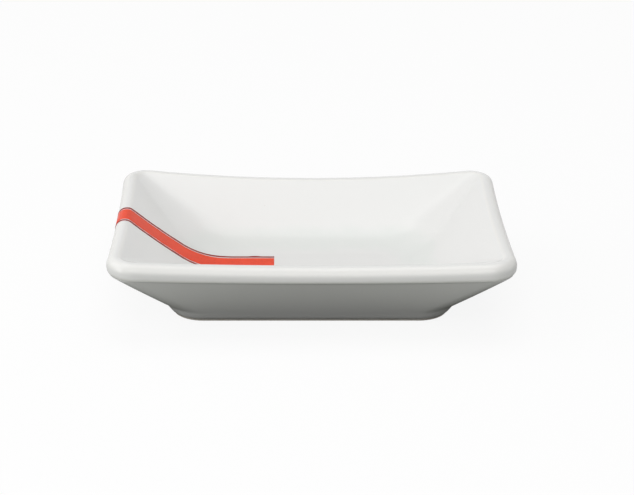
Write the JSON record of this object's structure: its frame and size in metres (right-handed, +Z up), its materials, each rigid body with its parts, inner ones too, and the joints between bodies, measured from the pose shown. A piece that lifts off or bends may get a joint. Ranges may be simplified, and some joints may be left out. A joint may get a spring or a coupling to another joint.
{
  "type": "soy sauce dish",
  "caption": "Small oblong soy sauce dish in white glazed porcelain, with a swept-up rounded rim, flared walls, a foot ring and a red enamel stripe over one short side.",
  "frame": {"origin": "on the table, under the middle of the foot", "axes": "+X along the length, away from the striped short side; +Y towards the back long side; +Z up, out of the well"},
  "size_m": [0.1, 0.0692, 0.0215],
  "materials": {
    "biscuit_porcelain": "fired unglazed porcelain, matt and very finely grained",
    "white_glaze": "clear glaze over white porcelain, glossy with a very slight ripple",
    "red_enamel": "on-glaze enamel, glossy, with slight mottling",
    "dark_red_enamel": "on-glaze enamel line, glossy"
  },
  "bodies": {
    "root": {"porcelain_body": "biscuit_porcelain", "glaze_coat": "white_glaze", "foot_recess_glaze": "white_glaze", "red_stripe": "red_enamel", "front_line": "dark_red_enamel", "back_line": "dark_red_enamel"}
  },
  "joints": []
}
